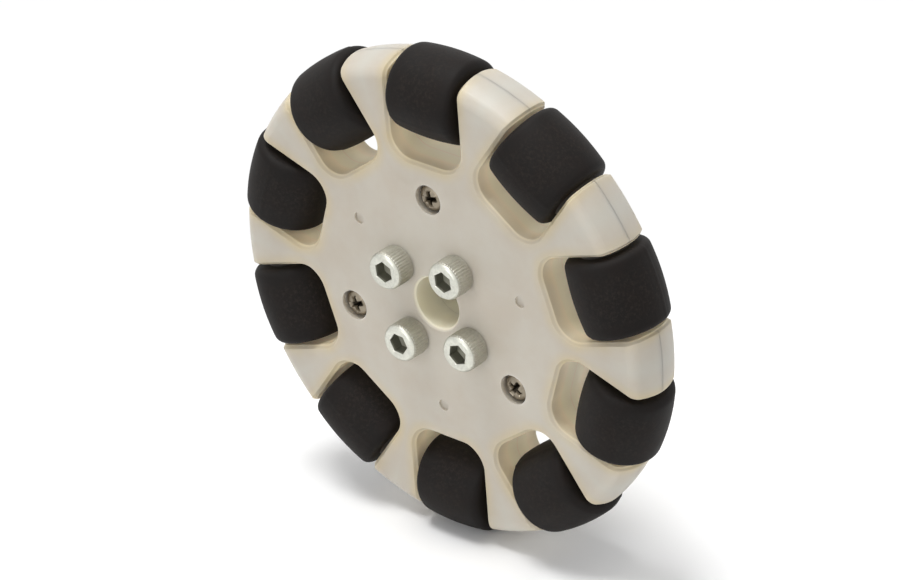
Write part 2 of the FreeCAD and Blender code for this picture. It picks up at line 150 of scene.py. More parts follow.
def new_group(name, takes, gives):
    """An empty shader group. takes and gives are (name, kind, default) and (name, kind)."""
    group = bpy.data.node_groups.new(name, "ShaderNodeTree")
    for label, kind, default in takes:
        socket = group.interface.new_socket(label, in_out="INPUT", socket_type=kind)
        if default is not None:
            socket.default_value = default
    for label, kind in gives:
        group.interface.new_socket(label, in_out="OUTPUT", socket_type=kind)
    taken = group.nodes.new("NodeGroupInput").outputs
    given = group.nodes.new("NodeGroupOutput").inputs
    return group, taken, given


def use_group(tree, group, **values):
    """Places a group in a material. Its sockets are named with _ for a space."""
    node = tree.nodes.new("ShaderNodeGroup")
    node.node_tree = group
    for label, value in values.items():
        plug(tree, value, node.inputs[label.replace("_", " ")])
    return node.outputs


def make_ring_places():
    """Where a point lies beside the nearest piece of a ring of equal pieces round the wheel's
    axis: its distance along the ring, out from the axis and from the piece's own centre line,
    and its depth along the axis."""
    group, taken, given = new_group(
        "ring_places",
        [("Place", "NodeSocketVector", None), ("First", "NodeSocketFloat", 0.0),
         ("Step", "NodeSocketFloat", 1.0), ("Circle", "NodeSocketFloat", 0.0)],
        [("Along", "NodeSocketFloat"), ("Outward", "NodeSocketFloat"),
         ("Across", "NodeSocketFloat"), ("Depth", "NodeSocketFloat")])
    split = group.nodes.new("ShaderNodeSeparateXYZ")
    plug(group, taken["Place"], split.inputs[0])
    x, y, z = split.outputs
    reach = long_side(group, x, z)
    angle = sums(group, "SUBTRACT", sums(group, "ARCTAN2", z, x), taken["First"])
    half_step = sums(group, "DIVIDE", taken["Step"], 2.0)
    lean = sums(group, "WRAP", angle, half_step, sums(group, "MULTIPLY", half_step, -1.0))
    along = sums(group, "MULTIPLY", reach, sums(group, "SINE", lean))
    outward = sums(group, "MULTIPLY", reach, sums(group, "COSINE", lean))
    past_circle = sums(group, "SUBTRACT", outward, taken["Circle"])
    plug(group, along, given["Along"])
    plug(group, outward, given["Outward"])
    plug(group, long_side(group, along, past_circle), given["Across"])
    plug(group, y, given["Depth"])
    return group


def make_fine_grain():
    """The small unevenness of a moulded or cast skin, with wider patches in its shine."""
    group, taken, given = new_group(
        "fine_grain",
        [("Place", "NodeSocketVector", None), ("Grain Size", "NodeSocketFloat", 0.0004),
         ("Patch Size", "NodeSocketFloat", 0.01), ("Roughness", "NodeSocketFloat", 0.5),
         ("Spread", "NodeSocketFloat", 0.1)],
        [("Height", "NodeSocketFloat"), ("Roughness", "NodeSocketFloat"),
         ("Patches", "NodeSocketFloat")])
    grain = speckle(group, taken["Place"], taken["Grain Size"], detail=3.0)
    patches = speckle(group, taken["Place"], taken["Patch Size"], detail=4.0, roughness=0.6)
    swing = sums(group, "MULTIPLY", sums(group, "SUBTRACT", patches, 0.5), taken["Spread"])
    plug(group, grain, given["Height"])
    plug(group, sums(group, "ADD", taken["Roughness"], swing), given["Roughness"])
    plug(group, patches, given["Patches"])
    return group


def new_finish(name):
    """A material with its shader and the place on the object that its patterns read."""
    material = bpy.data.materials.new(name)
    material.use_nodes = True
    tree = material.node_tree
    place = tree.nodes.new("ShaderNodeTexCoord").outputs["Object"]
    return material, tree, tree.nodes["Principled BSDF"], place


def bump(tree, surface, height, depth, strength):
    """Presses a height from 0 to 1 into the surface, depth metres deep."""
    node = tree.nodes.new("ShaderNodeBump")
    node.inputs["Strength"].default_value = strength
    node.inputs["Distance"].default_value = depth
    plug(tree, height, node.inputs["Height"])
    plug(tree, node.outputs["Normal"], surface.inputs["Normal"])


def give_finish(node_names, material):
    """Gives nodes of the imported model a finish."""
    for name in node_names:
        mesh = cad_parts[name].data
        mesh.materials.clear()
        mesh.materials.append(material)


ring_places = make_ring_places()
fine_grain = make_fine_grain()

nylon, tree, surface, place = new_finish("natural_nylon")
cell = use_group(tree, ring_places, Place=place, First=FIRST_ROLLER, Step=ROLLER_STEP)
grain = use_group(tree, fine_grain, Place=place, Grain_Size=0.35 * MM, Patch_Size=9 * MM,
                  Roughness=0.46, Spread=0.18)

beside = sums(tree, "ABSOLUTE", cell["Along"])
off_side = sums(tree, "SUBTRACT", beside, POCKET_HALF_WIDTH - POCKET_CORNER_R)
off_back = sums(tree, "SUBTRACT", POCKET_BACK + POCKET_CORNER_R, cell["Outward"])
past_side = sums(tree, "MAXIMUM", off_side, 0.0)
past_back = sums(tree, "MAXIMUM", off_back, 0.0)
from_pocket = sums(tree, "SUBTRACT", long_side(tree, past_side, past_back), POCKET_CORNER_R)
from_axis = long_side(tree, cell["Along"], cell["Outward"])
from_join = sums(tree, "ABSOLUTE", cell["Depth"])

deep = fade(tree, from_join, *WALL_DEPTH, 1.0, LEAST_DEEP)
deep_in_pocket = sums(tree, "MULTIPLY", fade(tree, from_pocket, *WALL_SKIN, 1.0, 0.0), deep)
near_pocket = fade(tree, from_pocket, 0.0, AMBER_REACH, 1.0, 0.0)
uneven = fade(tree, speckle(tree, place, AMBER_PATCH_SIZE), *NOISE_SPAN, *AMBER_SHARES)
arm_middle = fade(tree, from_pocket, *ARM_MIDDLE)
arm_end = sums(tree, "MULTIPLY", arm_middle, fade(tree, from_axis, *ARM_END))
in_bore = fade(tree, from_axis, *BORE_SKIN, 1.0, 0.0)
join = fade(tree, from_join, *JOIN_LINE, JOIN_SHARE, 0.0)

patches = fade(tree, grain["Patches"], *NOISE_SPAN)
colour = blend(tree, patches, seen(*CREAM), seen(*DULL_CREAM))
colour = blend(tree, sums(tree, "MULTIPLY", arm_end, ARM_SHARE), colour, seen(*ARM_CREAM))
# Painted shade: the face turns a darker amber along the edges of the pockets, in uneven patches.
colour = blend(tree, sums(tree, "MULTIPLY", near_pocket, uneven), colour, seen(*PAINTED_AMBER_EDGE_SHADE))
# Painted light: the walls deep in the pockets are made paler, for the light that comes through the
# nylon into their shade.
colour = blend(tree, deep_in_pocket, colour, seen(*PAINTED_POCKET_WALL_LIGHT))
# Painted light: the wall of the centre bore is made paler, to lift the shade inside it.
colour = blend(tree, in_bore, colour, seen(*PAINTED_BORE_LIGHT))
colour = blend(tree, join, colour, seen(*JOIN_SHADE))
plug(tree, colour, surface.inputs["Base Color"])
plug(tree, grain["Roughness"], surface.inputs["Roughness"])
# A painted glow: the walls deep in the pockets give off a faint amber light of their own, in place
# of light that comes through the nylon.
pocket_glow = blend(tree, deep_in_pocket, NO_PAINTED_GLOW, PAINTED_POCKET_GLOW)
plug(tree, pocket_glow, surface.inputs["Emission Color"])
surface.inputs["Emission Strength"].default_value = 1.0
surface.inputs["Subsurface Weight"].default_value = 0.6
surface.inputs["Subsurface Radius"].default_value = (1.0, 0.95, 0.88)
surface.inputs["Subsurface Scale"].default_value = 2 * MM
bump(tree, surface, grain["Height"], depth=0.02 * MM, strength=0.5)
give_finish(["front_half", "rear_half"], nylon)

# Roller sleeves
# Ten barrels of black rubber, each moulded round its core. The mould leaves a thin seam along
# both sides of a sleeve, and the floor has rubbed and dusted the middle of each.

WHEEL_R = 0.0381
ROLLER_CIRCLE_R = 0.03155
SLEEVE_HALF = 0.0058
SLEEVE_EDGE_R = 0.0012
CORE_R = 0.0036
EDGE_STEPS = 6
CROWN_STEPS = 14
SLEEVE_SEGMENTS = 120
SEAM_HEIGHT = 0.00007
SEAM_HALF_ANGLE = math.radians(3)
SEAM_FROM_R = CORE_R * 1.5
SPIN_SEED = 7
SAME_POINT = 1e-7
WHEEL_AXIS = Vector((0, 1, 0))

RUBBER_BLACK = (11, 7, 5)
DULL_BLACK = (18, 12, 9)
FLOOR_DUST = (58, 51, 46)
RUBBED_BAND = (2.2 * MM, 4.8 * MM)
SCUFF_SIZE = 0.5 * MM
SCUFF_SPAN = (0.44, 0.7)
DUST_IN_BAND = 0.3
DUST_ELSEWHERE = 0.05
DUST_ROUGHNESS = 0.25


def order_faces(bm):
    """Stores the faces in the order of their corners, because an extrude stores them in an order
    that varies from run to run."""
    bm.verts.index_update()
    in_order = sorted(bm.faces, key=lambda face: sorted(vert.index for vert in face.verts))
    for index, face in enumerate(in_order):
        face.index = index
    bm.faces.sort()


def lathe(bm, rings, segments, closed=False):
    """Builds a turned shape along +Z from rings of (height, radius or rule from angle to radius).
    It is capped at both ends, or closed on itself like a tyre."""
    started = bmesh.ops.create_circle(bm, cap_ends=not closed, segments=segments, radius=1.0)
    ring_verts = started["verts"]
    edges = bm.edges[:]
    for step, (height, rule) in enumerate(rings):
        if step > 0:
            grown = bmesh.ops.extrude_edge_only(bm, edges=edges)["geom"]
            ring_verts = [part for part in grown if isinstance(part, bmesh.types.BMVert)]
            fresh = set(ring_verts)
            grown_edges = [part for part in grown if isinstance(part, bmesh.types.BMEdge)]
            edges = [edge for edge in grown_edges if fresh.issuperset(edge.verts)]
        for vert in ring_verts:
            angle = math.atan2(vert.co.y, vert.co.x)
            radius = rule(angle) if callable(rule) else rule
            vert.co = Vector((radius * math.cos(angle), radius * math.sin(angle), height))
    if closed:
        bmesh.ops.remove_doubles(bm, verts=bm.verts[:], dist=SAME_POINT)
    else:
        bmesh.ops.edgeloop_fill(bm, edges=edges)
    bmesh.ops.recalc_face_normals(bm, faces=bm.faces[:])
    order_faces(bm)


def finish_piece(name, bm, matrix, material, body, replaces, sharp=35):
    """Puts a drawn shape in its place in the wheel as an object on the given body, and hides the
    imported node that it replaces.
    """
    bmesh.ops.transform(bm, matrix=matrix, verts=bm.verts[:])
    mesh = bpy.data.meshes.new(name)
    bm.to_mesh(mesh)
    bm.free()
    mesh.shade_smooth()
    mesh.set_sharp_from_angle(angle=math.radians(sharp))
    mesh.materials.append(material)
    piece = bpy.data.objects.new(name, mesh)
    bpy.context.scene.collection.objects.link(piece)
    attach(piece, body)
    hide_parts(replaces)


def sleeve_rings():
    """The sleeve's section: an arc of the wheel's own circle with rounded edges, and the end
    faces down to the bore."""
    reach = WHEEL_R - SLEEVE_EDGE_R
    edge_at = SLEEVE_HALF - SLEEVE_EDGE_R
    edge_up = math.sqrt(reach ** 2 - edge_at ** 2)
    lean = math.atan2(edge_at, edge_up)
    face_middle_r = (CORE_R + edge_up - ROLLER_CIRCLE_R) / 2
    near_end = [(-SLEEVE_HALF, CORE_R), (-SLEEVE_HALF, face_middle_r)]
    for step in range(EDGE_STEPS + 1):
        turn = math.pi + (math.pi / 2 - lean) * step / EDGE_STEPS
        along = -edge_at + SLEEVE_EDGE_R * math.cos(turn)
        radius = edge_up - ROLLER_CIRCLE_R - SLEEVE_EDGE_R * math.sin(turn)
        near_end.append((along, radius))
    crown = []
    for step in range(1, CROWN_STEPS):
        turn = lean * (2 * step / CROWN_STEPS - 1)
        crown.append((WHEEL_R * math.sin(turn), WHEEL_R * math.cos(turn) - ROLLER_CIRCLE_R))
    far_end = [(-along, radius) for along, radius in reversed(near_end)]
    return near_end + crown + far_end


def with_seam(radius):
    """A round section with a fine ridge on two opposite sides."""
    def rule(angle):
        off = min(abs(angle), abs(math.pi - abs(angle)))
        ridge = max(0.0, 1 - off / SEAM_HALF_ANGLE)
        return radius + SEAM_HEIGHT * ridge
    return rule


rubber, tree, surface, place = new_finish("roller_rubber")
cell = use_group(tree, ring_places, Place=place, First=FIRST_ROLLER, Step=ROLLER_STEP)
grain = use_group(tree, fine_grain, Place=place, Grain_Size=0.25 * MM, Patch_Size=3 * MM,
                  Roughness=0.66, Spread=0.2)
rubbed = fade(tree, sums(tree, "ABSOLUTE", cell["Along"]), *RUBBED_BAND, 1.0, 0.0)
scuffs = speckle(tree, place, SCUFF_SIZE, detail=6.0, roughness=0.75)
settled = sums(tree, "ADD", sums(tree, "MULTIPLY", rubbed, DUST_IN_BAND), DUST_ELSEWHERE)
dust = sums(tree, "MULTIPLY", settled, fade(tree, scuffs, *SCUFF_SPAN))
patches = fade(tree, grain["Patches"], *NOISE_SPAN)
black = blend(tree, patches, seen(*RUBBER_BLACK), seen(*DULL_BLACK))
plug(tree, blend(tree, dust, black, seen(*FLOOR_DUST)), surface.inputs["Base Color"])
dustier = sums(tree, "MULTIPLY", dust, DUST_ROUGHNESS)
plug(tree, sums(tree, "ADD", grain["Roughness"], dustier), surface.inputs["Roughness"])
surface.inputs["Specular IOR Level"].default_value = 0.2
bump(tree, surface, grain["Height"], depth=0.03 * MM, strength=0.6)

sleeve_section = [(along, with_seam(radius) if radius > SEAM_FROM_R else radius)
                  for along, radius in sleeve_rings()]
sleeve_section.append(sleeve_section[0])
chance = random.Random(SPIN_SEED)
for number in range(ROLLER_COUNT):
    tag = f"{number + 1:02d}"
    shape = bmesh.new()
    lathe(shape, sleeve_section, segments=SLEEVE_SEGMENTS, closed=True)
    angle = FIRST_ROLLER + ROLLER_STEP * number
    out = Vector((math.cos(angle), 0, math.sin(angle)))
    along = Vector((-math.sin(angle), 0, math.cos(angle)))
    on_pin = Matrix((out, WHEEL_AXIS, along)).transposed().to_4x4()
    spun = Matrix.Rotation(chance.uniform(0, math.pi), 4, "Z")
    in_wheel = Matrix.Translation(out * ROLLER_CIRCLE_R) @ on_pin @ spun
    finish_piece(f"rubber_sleeve_{tag}", shape, in_wheel, rubber, f"roller_{tag}",
                 f"roller_tyre_{tag}")

# Roller cores and pins
# Each sleeve is moulded on a dark plastic core, which turns on a ground steel pin. Only the
# core's end faces and a little of the pin show in the slits beside the rollers.

CORE_GREY = (58, 58, 60)
PALE_CORE_GREY = (72, 71, 72)
PIN_STEEL = (188, 188, 190)
PALE_PIN_STEEL = (204, 203, 203)

core_plastic, tree, surface, place = new_finish("core_plastic")
grain = use_group(tree, fine_grain, Place=place, Grain_Size=0.2 * MM, Patch_Size=2 * MM,
                  Roughness=0.45, Spread=0.15)
colour = blend(tree, grain["Patches"], seen(*CORE_GREY), seen(*PALE_CORE_GREY))
plug(tree, colour, surface.inputs["Base Color"])
plug(tree, grain["Roughness"], surface.inputs["Roughness"])
bump(tree, surface, grain["Height"], depth=0.01 * MM, strength=0.4)
give_finish([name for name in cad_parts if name.startswith("roller_core")], core_plastic)

pin_steel, tree, surface, place = new_finish("pin_steel")
grain = use_group(tree, fine_grain, Place=place, Grain_Size=0.1 * MM, Patch_Size=1 * MM,
                  Roughness=0.28, Spread=0.12)
colour = blend(tree, grain["Patches"], seen(*PIN_STEEL), seen(*PALE_PIN_STEEL))
plug(tree, colour, surface.inputs["Base Color"])
plug(tree, grain["Roughness"], surface.inputs["Roughness"])
surface.inputs["Metallic"].default_value = 1.0
give_finish([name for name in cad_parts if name.startswith("roller_pin")], pin_steel)

# Hub screws
# Four socket head cap screws of zinc plated steel, through both halves of the body into the
# hub. The heads are knurled round the side and bevelled at the top, with a hexagon socket.

HUB_SCREW_COUNT = 4
HUB_SCREW_CIRCLE_R = 0.008
HUB_SCREW_FIRST = math.radians(54)
HUB_SCREW_STEP = math.pi / 2
HUB_SCREW_R = 0.00175
SHANK_LENGTH = 0.0152
TIP_BEVEL = 0.0003
UNDER_HEAD = 0.0002
HEAD_R = 0.00287
HEAD_HEIGHT = 0.0035
FOOT_BEVEL = 0.0003
EDGE_ROUND = 0.0001
KNURL_DEPTH = 0.00012
KNURL_COUNT = 40
KNURL_FROM_FOOT = 0.00045
KNURL_FROM_TOP = 0.00062
COLLAR_FROM_TOP = (0.0005, 0.00035)
TOP_BEVEL = 0.00045
TOP_BEVEL_SHOULDER = 0.00028
SOCKET_HALF_FLATS = 0.00139
SOCKET_DEPTH = 0.0018
SOCKET_MOUTH = 1.24
SOCKET_LEAD_IN = 1.02
DRILL_POINT_DEPTH = 0.0003
DRILL_POINT = 0.35
HEAD_SEGMENTS = 240
HUB_SCREW_RECESS_R = 1.75 * MM

BRIGHT_ZINC = (214, 214, 203)
ZINC_FLANK_GRIME_AND_SHADE = (200, 199, 189)
SOCKET_PAINTED_SHADE = (150, 149, 138)
ZINC_SPAN = (0.35, 0.7)
DULL_FACE = 0.93
DULL_FLANK = 0.95
FLANK_FROM_TOP = (0.55 * MM, 0.25 * MM)
FLANK_ROUGHNESS = 0.12
RECESS_RIM = 0.15 * MM
TURNING_PITCH = 0.06 * MM
FRONT = -1
BACK = 1
QUARTER_TURN = math.radians(90)
HEXAGON_STEP = math.pi / 3


def knurled(radius):
    """A round head cut with fine upright ridges."""
    def rule(angle):
        wave = math.cos(angle * KNURL_COUNT)
        return radius - KNURL_DEPTH * (0.5 - 0.5 * wave)
    return rule


def six_sided(half_flats):
    """A hexagon's outline, as a radius for each angle."""
    def rule(angle):
        lean = (angle + HEXAGON_STEP / 2) % HEXAGON_STEP - HEXAGON_STEP / 2
        return half_flats / math.cos(lean)
    return rule


def make_zinc(name, face, flank_grime_and_shade, hollow_shade, circle, first, step, head_top, recess_r):
    """Zinc plate on a ring of screws: pale on the face of each head, with fine rings about its own
    centre. Down its flanks it is duller and darker, with painted shade and some grime in the
    knurls, and its recess is darkened with painted shade."""
    material, tree, surface, place = new_finish(name)
    screw = use_group(tree, ring_places, Place=place, First=first, Step=step, Circle=circle)
    grain = use_group(tree, fine_grain, Place=place, Grain_Size=0.12 * MM, Patch_Size=0.4 * MM,
                      Roughness=0.36, Spread=0.12)
    height = sums(tree, "ABSOLUTE", screw["Depth"])
    flank_low, flank_high = [head_top - below_top for below_top in FLANK_FROM_TOP]
    below = fade(tree, height, flank_low, flank_high, 1.0, 0.0)
    inside = fade(tree, screw["Across"], recess_r, recess_r + RECESS_RIM, 1.0, 0.0)
    turning = tree.nodes.new("ShaderNodeTexNoise")
    turning.noise_dimensions = "1D"
    plug(tree, sums(tree, "DIVIDE", screw["Across"], TURNING_PITCH), turning.inputs["W"])
    turning.inputs["Scale"].default_value = 1.0
    patches = fade(tree, grain["Patches"], *ZINC_SPAN)
    cloudy = blend(tree, patches, seen(*face), seen(*[DULL_FACE * part for part in face]))
    # Painted shade, with some grime in the knurls: the flanks of each head are darker than its
    # face.
    side = blend(tree, patches, seen(*flank_grime_and_shade), seen(*[DULL_FLANK * part for part in flank_grime_and_shade]))
    metal = blend(tree, below, cloudy, side)
    # Painted shade: the socket or cross recess in each head is coloured darker.
    metal = blend(tree, sums(tree, "MULTIPLY", below, inside), metal, seen(*hollow_shade))
    plug(tree, metal, surface.inputs["Base Color"])
    rougher = sums(tree, "MULTIPLY", below, FLANK_ROUGHNESS)
    plug(tree, sums(tree, "ADD", grain["Roughness"], rougher), surface.inputs["Roughness"])
    surface.inputs["Metallic"].default_value = 1.0
    bump(tree, surface, turning.outputs["Fac"], depth=0.006 * MM, strength=0.5)
    return material


def screw_seat(circle, angle, towards, height):
    """The place of a screw drawn along +Z with its head's seat at the origin: on a ring of
    screws, with its head to the front or the back, and its seat at a height above the join."""
    seat = Vector((circle * math.cos(angle), towards * height, circle * math.sin(angle)))
    return Matrix.Translation(seat) @ Matrix.Rotation(-towards * QUARTER_TURN, 4, "X")


hub_screw_zinc = make_zinc(
    "hub_screw_zinc", face=BRIGHT_ZINC, flank_grime_and_shade=ZINC_FLANK_GRIME_AND_SHADE, hollow_shade=SOCKET_PAINTED_SHADE,
    circle=HUB_SCREW_CIRCLE_R, first=HUB_SCREW_FIRST, step=HUB_SCREW_STEP,
    head_top=HALF_THICKNESS + HEAD_HEIGHT, recess_r=HUB_SCREW_RECESS_R)
cap_screw_rings = [
    (-SHANK_LENGTH, HUB_SCREW_R - TIP_BEVEL),
    (-SHANK_LENGTH + TIP_BEVEL, HUB_SCREW_R),
    (-UNDER_HEAD, HUB_SCREW_R),
    (0, HUB_SCREW_R),
    (0, HEAD_R - FOOT_BEVEL),
    (EDGE_ROUND, HEAD_R - EDGE_ROUND),
    (FOOT_BEVEL, HEAD_R - KNURL_DEPTH),
    (KNURL_FROM_FOOT, knurled(HEAD_R)),
    (HEAD_HEIGHT - KNURL_FROM_TOP, knurled(HEAD_R)),
    (HEAD_HEIGHT - COLLAR_FROM_TOP[0], HEAD_R - KNURL_DEPTH),
    (HEAD_HEIGHT - COLLAR_FROM_TOP[1], HEAD_R - KNURL_DEPTH),
    (HEAD_HEIGHT - EDGE_ROUND, HEAD_R - TOP_BEVEL_SHOULDER),
    (HEAD_HEIGHT, HEAD_R - TOP_BEVEL),
    (HEAD_HEIGHT, SOCKET_HALF_FLATS * SOCKET_MOUTH),
    (HEAD_HEIGHT - EDGE_ROUND, six_sided(SOCKET_HALF_FLATS * SOCKET_LEAD_IN)),
    (HEAD_HEIGHT - SOCKET_DEPTH, six_sided(SOCKET_HALF_FLATS)),
    (HEAD_HEIGHT - SOCKET_DEPTH - DRILL_POINT_DEPTH, SOCKET_HALF_FLATS * DRILL_POINT),
]
for number in range(HUB_SCREW_COUNT):
    shape = bmesh.new()
    lathe(shape, cap_screw_rings, segments=HEAD_SEGMENTS)
    angle = HUB_SCREW_FIRST + HUB_SCREW_STEP * number
    seat = screw_seat(HUB_SCREW_CIRCLE_R, angle, FRONT, HALF_THICKNESS)
    seat = seat @ Matrix.Rotation(chance.uniform(0, HEXAGON_STEP), 4, "Z")
    finish_piece(f"cap_screw_{number + 1}", shape, seat, hub_screw_zinc, "wheel",
                 f"hub_screw_{number + 1}", sharp=28)

# Clamp screws
# Six small thread-forming pan head screws of zinc plated steel hold the halves together, three
# from each side, each sunk in a round seat. Their cross recesses taper towards the bottom.

CLAMP_CIRCLE_R = 0.0167
CLAMP_SEAT_DEPTH = 0.0018
CLAMP_HEAD_R = 0.0021
CLAMP_HEAD_HEIGHT = 0.0015
CLAMP_SCREW_R = 0.0011
CLAMP_LENGTH = 0.006
CLAMP_TIP_R = 0.0003
CLAMP_TIP_LENGTH = 0.0012
CLAMP_HEADS_FRONT = (90, 198, 324)
CLAMP_HEAD_STEP = math.pi / ROLLER_COUNT
CLAMP_SEGMENTS = 96
CLAMP_RECESS_R = 1.25 * MM
# The head's side: a height above the seat, and how far the side has drawn in there.
CLAMP_DOME = ((0.0002, 0), (0.0007, 0), (0.001, 0.00012), (0.00122, 0.0004), (0.0014, 0.0009))
CROSS_STEP = math.pi / 2
# The cross recess at its mouth, just below it and at its floor: half its length and width.
CROSS_MOUTH = (0.0013, 0.00042)
CROSS_LEAD_IN = (0.00122, 0.00036)
CROSS_FLOOR = (0.0007, 0.00024)
CROSS_DEPTH = 0.0009
CROSS_POINT_DEPTH = 0.0012
CROSS_POINT_R = 0.00012

GREY_ZINC = (148, 138, 122)
GREY_ZINC_FLANK_GRIME_AND_SHADE = (122, 113, 99)
RECESS_PAINTED_SHADE = (52, 46, 38)


def cross_shaped(half_length, half_width):
    """The outline of a cross recess, as a radius for each angle."""
    def rule(angle):
        lean = abs((angle + CROSS_STEP / 2) % CROSS_STEP - CROSS_STEP / 2)
        if math.tan(lean) * half_length <= half_width:
            return half_length / math.cos(lean)
        return half_width / math.sin(lean)
    return rule


clamp_zinc = make_zinc(
    "clamp_screw_zinc", face=GREY_ZINC, flank_grime_and_shade=GREY_ZINC_FLANK_GRIME_AND_SHADE, hollow_shade=RECESS_PAINTED_SHADE,
    circle=CLAMP_CIRCLE_R, first=math.pi / 2, step=CLAMP_HEAD_STEP,
    head_top=HALF_THICKNESS - CLAMP_SEAT_DEPTH + CLAMP_HEAD_HEIGHT, recess_r=CLAMP_RECESS_R)
clamp_screw_rings = [
    (-CLAMP_LENGTH, CLAMP_TIP_R),
    (-CLAMP_LENGTH + CLAMP_TIP_LENGTH, CLAMP_SCREW_R),
    (-EDGE_ROUND, CLAMP_SCREW_R),
    (0, CLAMP_SCREW_R + EDGE_ROUND),
    (0, CLAMP_HEAD_R - EDGE_ROUND),
    *[(height, CLAMP_HEAD_R - drawn_in) for height, drawn_in in CLAMP_DOME],
    (CLAMP_HEAD_HEIGHT, cross_shaped(*CROSS_MOUTH)),
    (CLAMP_HEAD_HEIGHT - EDGE_ROUND, cross_shaped(*CROSS_LEAD_IN)),
    (CLAMP_HEAD_HEIGHT - CROSS_DEPTH, cross_shaped(*CROSS_FLOOR)),
    (CLAMP_HEAD_HEIGHT - CROSS_POINT_DEPTH, CROSS_POINT_R),
]
for side, towards in (("front", FRONT), ("rear", BACK)):
    for number, degrees in enumerate(CLAMP_HEADS_FRONT, start=1):
        shape = bmesh.new()
        lathe(shape, clamp_screw_rings, segments=CLAMP_SEGMENTS)
        angle = math.radians(degrees)
        if towards == BACK:
            angle = 2 * HUB_SCREW_FIRST - angle
        seat = screw_seat(CLAMP_CIRCLE_R, angle, towards, HALF_THICKNESS - CLAMP_SEAT_DEPTH)
        seat = seat @ Matrix.Rotation(chance.uniform(0, CROSS_STEP), 4, "Z")
        finish_piece(f"pan_screw_{side}_{number}", shape, seat, clamp_zinc, "wheel",
                     f"clamp_screw_{side}_{number}", sharp=30)

# Hub
# A turned aluminium disc behind the body. The lathe has left fine rings on its back face and
# round its side. A black socket set screw in its side holds the axle.

HUB_MIDDLE = 0.00775
CUT_PITCH = 0.5 * MM
CUT_SHADE = (168, 170, 173)
CUT_SHINE = (208, 209, 210)
CUT_SPAN = (0.35, 0.65)
SET_SCREW_R = 0.00175
SET_SCREW_TIP = 0.0027
SET_SCREW_LENGTH = 0.006
SET_SCREW_BEVEL = 0.0003
SET_SCREW_CUP = (0.0002, 0.0006)
SET_SCREW_CUP_EDGE_R = 0.0008
SET_SCREW_CONE = 0.0006
SET_SCREW_MOUTH_R = 0.00105
SET_SCREW_HALF_FLATS = 0.0008
SET_SCREW_SOCKET_DEPTH = 0.0022
SET_SCREW_POINT_DEPTH = 0.0024
SET_SCREW_POINT_R = 0.0003
SET_SCREW_SEGMENTS = 96
BLACKED_STEEL = (44, 44, 48)
WORN_BLACK = (66, 65, 68)

turned_aluminium, tree, surface, place = new_finish("turned_aluminium")
grain = use_group(tree, fine_grain, Place=place, Grain_Size=0.3 * MM, Patch_Size=4 * MM,
                  Roughness=0.34, Spread=0.1)
split = tree.nodes.new("ShaderNodeSeparateXYZ")
plug(tree, place, split.inputs[0])
x, y, z = split.outputs
cut_at = tree.nodes.new("ShaderNodeCombineXYZ")
plug(tree, sums(tree, "DIVIDE", long_side(tree, x, z), CUT_PITCH), cut_at.inputs[0])
plug(tree, sums(tree, "DIVIDE", y, CUT_PITCH), cut_at.inputs[1])
tool_lines = speckle(tree, cut_at.outputs[0], 1.0, detail=5.0, roughness=0.8)
shine = fade(tree, tool_lines, *CUT_SPAN)
plug(tree, blend(tree, shine, seen(*CUT_SHADE), seen(*CUT_SHINE)), surface.inputs["Base Color"])
plug(tree, grain["Roughness"], surface.inputs["Roughness"])
surface.inputs["Metallic"].default_value = 1.0
bump(tree, surface, tool_lines, depth=0.02 * MM, strength=0.8)
give_finish(["hub"], turned_aluminium)

black_steel, tree, surface, place = new_finish("black_steel")
grain = use_group(tree, fine_grain, Place=place, Grain_Size=0.1 * MM, Patch_Size=0.8 * MM,
                  Roughness=0.4, Spread=0.2)
colour = blend(tree, grain["Patches"], seen(*BLACKED_STEEL), seen(*WORN_BLACK))
plug(tree, colour, surface.inputs["Base Color"])
plug(tree, grain["Roughness"], surface.inputs["Roughness"])
surface.inputs["Metallic"].default_value = 1.0

set_screw_rings = [
    SET_SCREW_CUP,
    (0, SET_SCREW_CUP_EDGE_R),
    (SET_SCREW_CONE, SET_SCREW_R),
    (SET_SCREW_LENGTH - SET_SCREW_BEVEL, SET_SCREW_R),
    (SET_SCREW_LENGTH, SET_SCREW_R - SET_SCREW_BEVEL),
    (SET_SCREW_LENGTH, SET_SCREW_MOUTH_R),
    (SET_SCREW_LENGTH - EDGE_ROUND, six_sided(SET_SCREW_HALF_FLATS)),
    (SET_SCREW_LENGTH - SET_SCREW_SOCKET_DEPTH, six_sided(SET_SCREW_HALF_FLATS)),
    (SET_SCREW_LENGTH - SET_SCREW_POINT_DEPTH, SET_SCREW_POINT_R),
]
shape = bmesh.new()
lathe(shape, set_screw_rings, segments=SET_SCREW_SEGMENTS)
in_hub = Matrix.Translation((0, HUB_MIDDLE, SET_SCREW_TIP))
finish_piece("set_screw", shape, in_hub, black_steel, "wheel", "hub_set_screw")

# Floor, light and camera
# A white floor that the lowest roller stands on, a broad soft lamp above and weaker ones in front
# and behind under an even pale sky, with the camera where the photograph was taken from.

FLOOR_HALF = 3.0
BURNT_OUT = (0.045, 0.11)
PAINTED_CONTACT_SHADOW = (0.039, 0.058)
GLOW_BESIDE = 0.15
WHITE_LIGHT = (1, 1, 1, 1)
NO_LIGHT = (0, 0, 0, 1)
FLOOR_WHITE = (0.99, 0.99, 0.99, 1)
FLOOR_FOR_BOUNCES = (0.9, 0.9, 0.9, 1)
SKY_STRENGTH = 0.45
SKY_SEEN = 1.0


def seen_by_eye(tree):
    """1 for what the camera sees, straight or in metal or glass, and 0 for light that bounces."""
    rays = tree.nodes.new("ShaderNodeLightPath")
    share = sums(tree, "MAXIMUM", rays.outputs["Is Camera Ray"], rays.outputs["Is Glossy Ray"])
    return sums(tree, "MAXIMUM", share, rays.outputs["Is Transmission Ray"])


